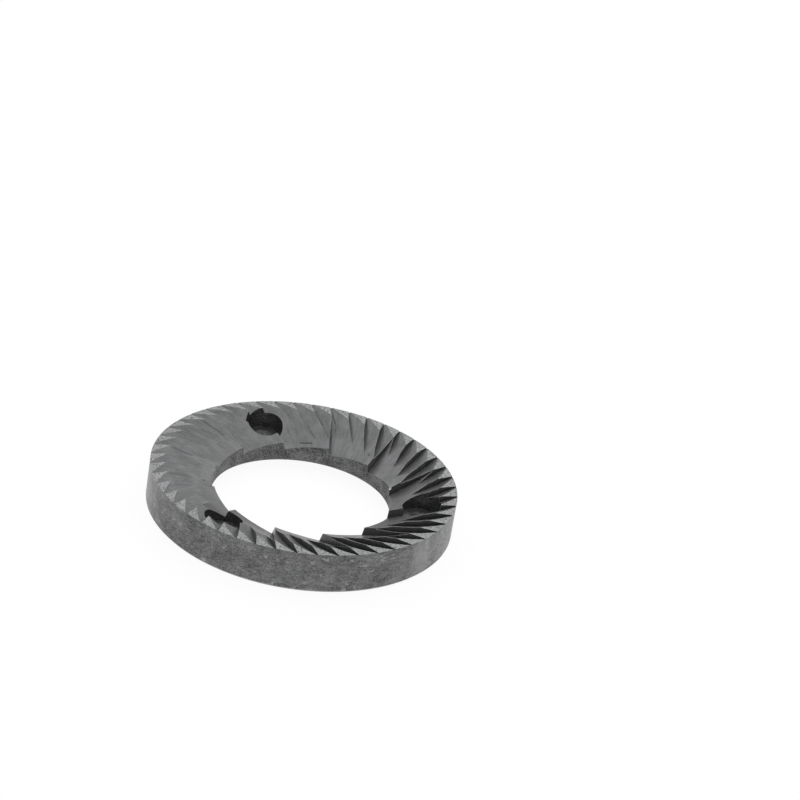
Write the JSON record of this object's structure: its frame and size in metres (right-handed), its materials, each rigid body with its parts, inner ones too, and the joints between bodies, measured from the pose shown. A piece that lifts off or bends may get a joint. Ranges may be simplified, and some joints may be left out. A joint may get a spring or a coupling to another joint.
{
  "type": "coffee grinder burr",
  "caption": "Flat steel coffee grinder burr: a ring with slanted coarse and fine cutting teeth, counterbored screw holes and a recessed back.",
  "frame": {"origin": "centre of the back face, on the burr's axis", "axes": "+Z along the burr's axis, out through the teeth; +X through the first screw hole"},
  "size_m": [0.064, 0.064, 0.0089],
  "materials": {
    "steel": "hardened steel, ground on the lands and on the back ring"
  },
  "bodies": {
    "root": {"burr": "steel"}
  },
  "joints": []
}
